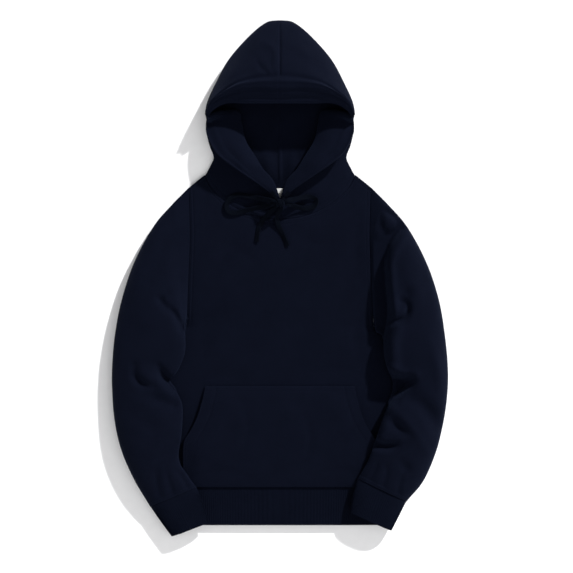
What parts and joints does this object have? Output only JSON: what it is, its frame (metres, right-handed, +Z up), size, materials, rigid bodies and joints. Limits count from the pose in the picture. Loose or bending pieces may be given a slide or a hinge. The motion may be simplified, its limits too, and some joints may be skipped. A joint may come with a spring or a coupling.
{
  "type": "pullover hoodie laid flat",
  "caption": "Long-sleeved pullover hoodie laid flat on its back, hood open, drawcord tied in a bow, kangaroo pocket, ribbed cuffs and hem.",
  "frame": {"origin": "middle of the garment's box in plan, on the surface that its back lies on", "axes": "+X towards the wearer's left side, +Y from hem to hood, +Z up from the surface, out of the front"},
  "size_m": [0.672, 1.033, 0.089],
  "materials": {
    "fleece": "matt brushed fleece, dark navy",
    "rib_knit": "matt ribbed knit, dark navy",
    "cord": "matt woven flat cord, dark navy",
    "label": "plain white woven tape, blank"
  },
  "bodies": {
    "root": {"front_panel": "fleece", "back_panel": "fleece", "hem_band": "rib_knit", "pocket": "fleece", "sleeve_right": "fleece", "forearm_right": "fleece", "sleeve_left": "fleece", "forearm_left": "fleece", "cuff_right": "rib_knit", "cuff_left": "rib_knit", "hood_right": "fleece", "hood_side_right": "fleece", "hood_left": "fleece", "hood_side_left": "fleece", "neck_label": "label", "drawcord_knot": "cord", "drawcord_feed_right": "cord", "drawcord_feed_left": "cord", "drawcord_loop_right": "cord", "drawcord_loop_left": "cord", "drawcord_tail_right": "cord", "drawcord_tail_left": "cord"}
  },
  "joints": []
}
